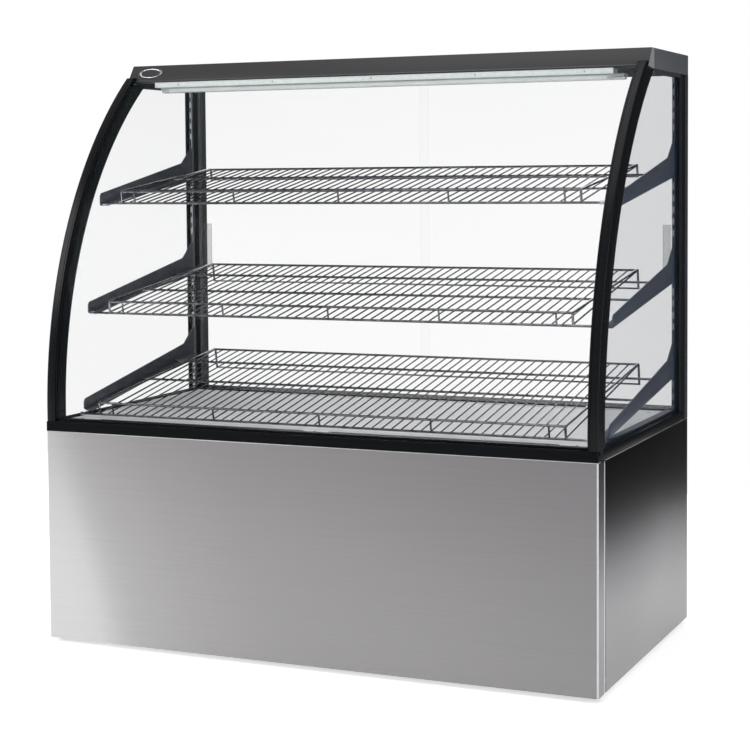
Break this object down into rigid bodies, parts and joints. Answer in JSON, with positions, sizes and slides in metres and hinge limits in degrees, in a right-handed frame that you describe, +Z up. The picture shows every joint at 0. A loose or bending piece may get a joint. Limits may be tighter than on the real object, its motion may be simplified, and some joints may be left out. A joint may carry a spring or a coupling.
{
  "type": "refrigerated deli case",
  "caption": "Floor-standing chilled food display case with a curved glass front, tilted wire shelves, sliding rear glass doors and a brushed steel base.",
  "frame": {"origin": "on the floor under the middle of the case's bounding box", "axes": "+Z up, -Y towards the customer at the curved glass front, +Y towards the server at the sliding doors, +X to the customer's right"},
  "size_m": [1.2, 0.68, 1.233],
  "materials": {
    "brushed_steel": "horizontally brushed stainless steel sheet",
    "satin_steel": "satin stainless steel",
    "galvanised": "galvanised steel sheet",
    "grey_steel": "dark brushed stainless steel",
    "charcoal_steel": "charcoal satin enamel",
    "black_aluminium": "black anodised extrusion",
    "clear_glass": "toughened clear glass",
    "clear_plastic": "clear moulded acrylic",
    "white_plastic": "white moulded plastic",
    "black_plastic": "black moulded plastic",
    "insulation": "steel-lined foam",
    "lamp_white": "white powder coat",
    "chrome_wire": "bright plated wire",
    "badge_chrome": "satin plated plate",
    "bracket_steel": "dark plated steel sheet",
    "motor_black": "black enamelled steel shell",
    "fan_black": "moulded black plastic",
    "coil_metal": "thin fins on copper tube"
  },
  "bodies": {
    "case": {"front_panel": "brushed_steel", "side_panel_right": "brushed_steel", "side_panel_left": "brushed_steel", "base_pan": "galvanised", "service_panel": "brushed_steel", "base_rail_front": "black_aluminium", "base_rail_right": "black_aluminium", "base_rail_left": "black_aluminium", "rear_sill": "black_aluminium", "canopy_fascia": "charcoal_steel", "canopy_top": "charcoal_steel", "canopy_end_right": "grey_steel", "canopy_end_left": "grey_steel", "badge_plate": "badge_chrome", "end_frame_right": "black_aluminium", "end_frame_left": "black_aluminium", "front_glass": "clear_glass", "side_glass_right": "clear_glass", "side_glass_left": "clear_glass", "rear_post_right": "black_aluminium", "rear_post_left": "black_aluminium", "rear_jamb_right": "satin_steel", "rear_jamb_left": "satin_steel", "door_track_bottom": "black_aluminium", "door_track_top": "satin_steel", "lamp_housing": "lamp_white", "lamp_diffuser": "clear_plastic", "bracket_top_right": "bracket_steel", "bracket_top_left": "bracket_steel", "bracket_middle_right": "bracket_steel", "bracket_middle_left": "bracket_steel", "bracket_bottom_right": "bracket_steel", "bracket_bottom_left": "bracket_steel", "cold_deck": "satin_steel", "cold_tub": "insulation", "evaporator_coil": "coil_metal", "evaporator_fan_motor": "motor_black", "compressor": "motor_black", "condenser_coil": "coil_metal", "condenser_fan_motor": "motor_black", "fan_shroud": "galvanised", "controller": "black_plastic"},
    "door_left": {"door_left": "clear_glass", "door_pull_left": "clear_plastic"},
    "door_right": {"door_right": "clear_glass", "door_pull_right": "clear_plastic"},
    "shelf_top": {"shelf_top": "chrome_wire"},
    "shelf_middle": {"shelf_middle": "chrome_wire"},
    "shelf_bottom": {"shelf_bottom": "chrome_wire"},
    "evaporator_fan": {"evaporator_fan_wheel": "fan_black"},
    "condenser_fan": {"condenser_fan_wheel": "fan_black"},
    "drain_tray": {"drain_tray": "white_plastic"},
    "power_rocker": {"power_switch": "black_plastic"},
    "light_rocker": {"light_switch": "black_plastic"},
    "key_up": {"set_key_up": "white_plastic"},
    "key_down": {"set_key_down": "white_plastic"},
    "foot_front_left": {"foot_front_left": "black_plastic"},
    "foot_front_right": {"foot_front_right": "black_plastic"},
    "foot_rear_left": {"foot_rear_left": "black_plastic"},
    "foot_rear_right": {"foot_rear_right": "black_plastic"}
  },
  "joints": [
    {"name": "door_left_slide", "type": "slide", "parent": "case", "child": "door_left", "axis": [1, 0, 0], "range_m": [0, 0.52]},
    {"name": "door_right_slide", "type": "slide", "parent": "case", "child": "door_right", "axis": [-1, 0, 0], "range_m": [0, 0.52]},
    {"name": "shelf_top_lift", "type": "slide", "parent": "case", "child": "shelf_top", "axis": [0, 0, 1], "range_m": [0, 0.025]},
    {"name": "shelf_middle_lift", "type": "slide", "parent": "case", "child": "shelf_middle", "axis": [0, 0, 1], "range_m": [0, 0.025]},
    {"name": "shelf_bottom_lift", "type": "slide", "parent": "case", "child": "shelf_bottom", "axis": [0, 0, 1], "range_m": [0, 0.025]},
    {"name": "evaporator_fan_spin", "type": "hinge", "parent": "case", "child": "evaporator_fan", "pos_m": [0.26, 0, 0.4013], "axis": [0, 1, 0], "continuous": true},
    {"name": "condenser_fan_spin", "type": "hinge", "parent": "case", "child": "condenser_fan", "pos_m": [0, 0.2325, 0.1413], "axis": [0, 1, 0], "continuous": true},
    {"name": "drain_tray_slide", "type": "slide", "parent": "case", "child": "drain_tray", "axis": [0, 1, 0], "range_m": [0, 0.16]},
    {"name": "power_switch_rock", "type": "hinge", "parent": "case", "child": "power_rocker", "pos_m": [-0.402, 0.3318, 0.388], "axis": [1, 0, 0], "range_deg": [-7, 7]},
    {"name": "light_switch_rock", "type": "hinge", "parent": "case", "child": "light_rocker", "pos_m": [-0.37, 0.3318, 0.388], "axis": [1, 0, 0], "range_deg": [-7, 7]},
    {"name": "set_key_up_press", "type": "slide", "parent": "case", "child": "key_up", "axis": [0, -1, 0], "range_m": [0, 0.0015], "stiffness_N_per_m": 500},
    {"name": "set_key_down_press", "type": "slide", "parent": "case", "child": "key_down", "axis": [0, -1, 0], "range_m": [0, 0.0015], "stiffness_N_per_m": 500},
    {"name": "foot_front_left_screw", "type": "slide", "parent": "case", "child": "foot_front_left", "axis": [0, 0, -1], "range_m": [0, 0.012]},
    {"name": "foot_front_right_screw", "type": "slide", "parent": "case", "child": "foot_front_right", "axis": [0, 0, -1], "range_m": [0, 0.012]},
    {"name": "foot_rear_left_screw", "type": "slide", "parent": "case", "child": "foot_rear_left", "axis": [0, 0, -1], "range_m": [0, 0.012]},
    {"name": "foot_rear_right_screw", "type": "slide", "parent": "case", "child": "foot_rear_right", "axis": [0, 0, -1], "range_m": [0, 0.012]}
  ]
}
